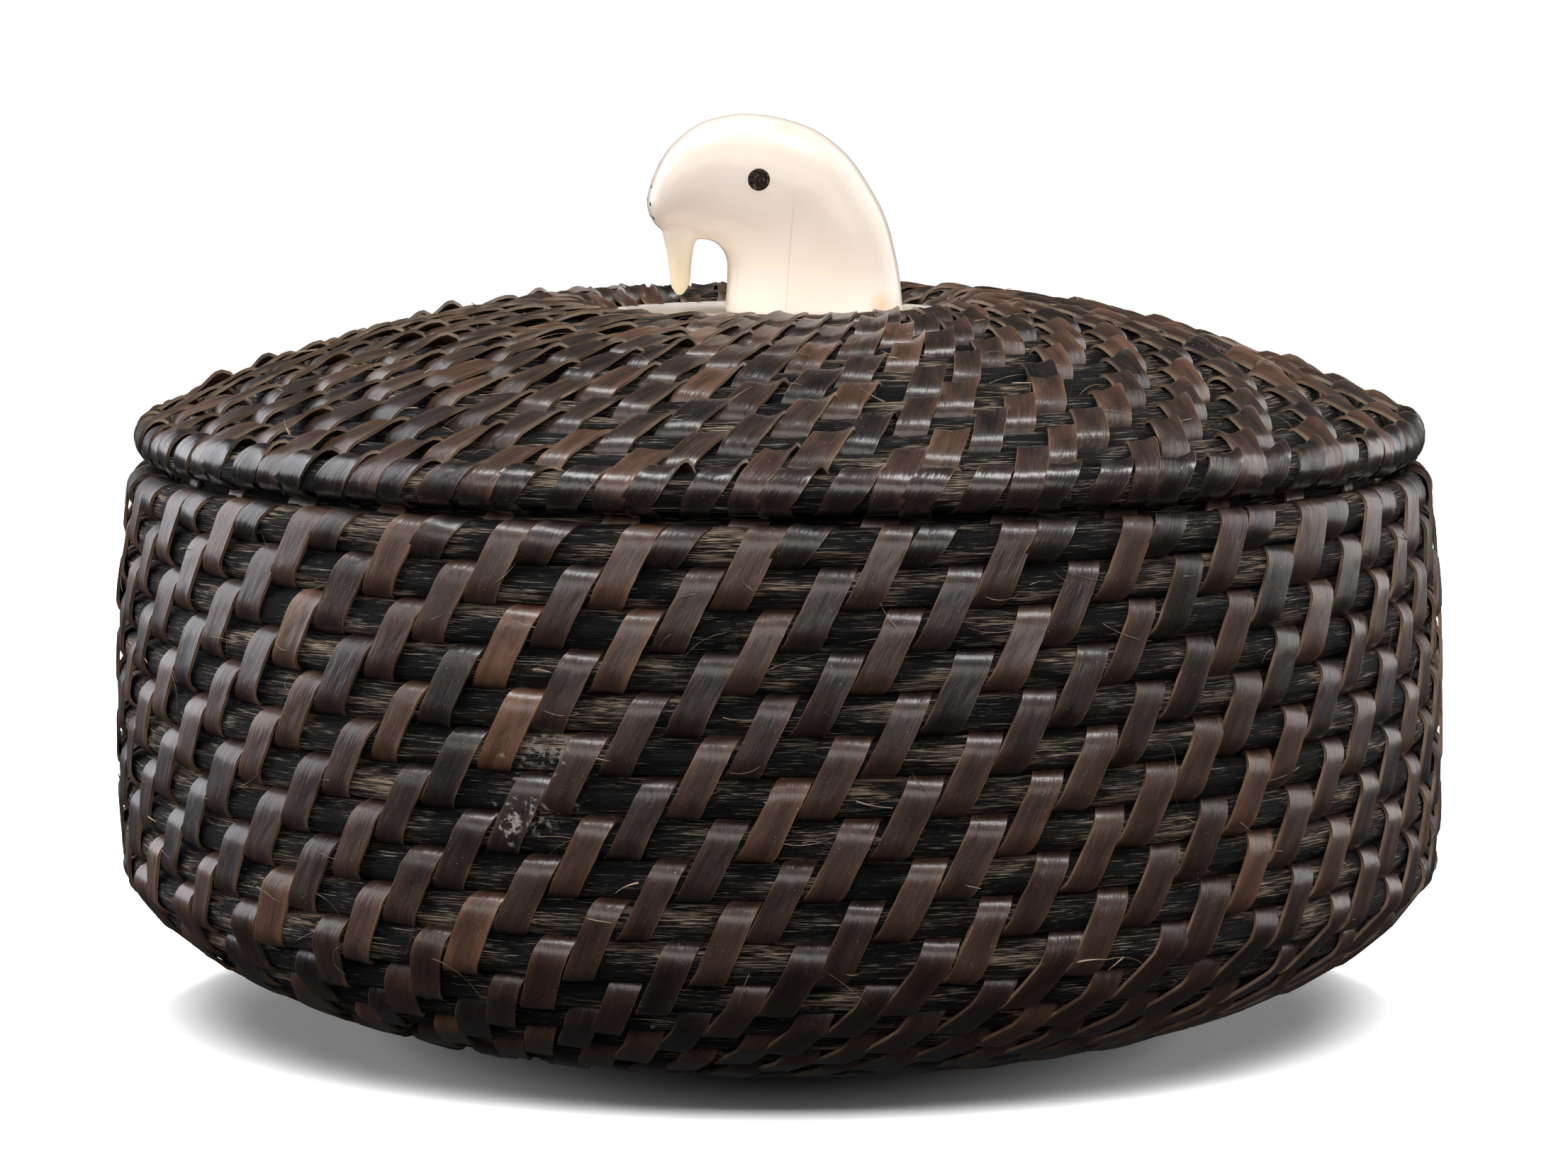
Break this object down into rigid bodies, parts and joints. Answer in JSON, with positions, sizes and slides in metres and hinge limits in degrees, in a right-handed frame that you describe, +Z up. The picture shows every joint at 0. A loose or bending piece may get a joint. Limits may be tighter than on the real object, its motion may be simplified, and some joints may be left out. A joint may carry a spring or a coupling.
{
  "type": "lidded baleen basket",
  "caption": "Round coiled basket of dark baleen with a domed lift-off lid and a carved ivory walrus-head finial.",
  "frame": {"origin": "on the basket's axis, in the plane of the table that it stands on", "axes": "+Z up along the basket's axis, -X the way the walrus head looks, -Y towards the viewer of the picture"},
  "size_m": [0.1153, 0.1152, 0.0793],
  "materials": {
    "baleen_rod": "dry fibrous baleen rod, near black",
    "baleen_strip": "scraped baleen strip, satin to glossy dark brown",
    "ivory": "polished ivory, warm white",
    "peg_wood": "plain wooden dowel",
    "dark_inlay": "dark baleen inlay, polished flush"
  },
  "bodies": {
    "basket": {"base_disc": "ivory", "base_rod_inner": "baleen_rod", "base_rod_outer": "baleen_rod", "wall_rod_lower": "baleen_rod", "wall_rod_middle": "baleen_rod", "wall_rod_rim": "baleen_rod", "rim_lashing": "baleen_strip", "wall_lashing_02": "baleen_strip", "wall_lashing_03": "baleen_strip", "wall_lashing_04": "baleen_strip", "wall_lashing_05": "baleen_strip", "wall_lashing_06": "baleen_strip", "wall_lashing_07": "baleen_strip", "wall_lashing_08": "baleen_strip", "wall_lashing_09": "baleen_strip"},
    "lid": {"lid_disc": "ivory", "lid_rod_inner": "baleen_rod", "lid_rod_outer": "baleen_rod", "lid_rim_lashing": "baleen_strip", "flange_rod": "baleen_rod", "flange_lashing": "baleen_strip", "finial_head": "ivory", "finial_peg": "peg_wood", "eye_left": "dark_inlay", "eye_right": "dark_inlay"}
  },
  "joints": [
    {"name": "lid_lift", "type": "slide", "parent": "basket", "child": "lid", "axis": [0, 0, 1], "range_m": [0, 0.06]}
  ]
}
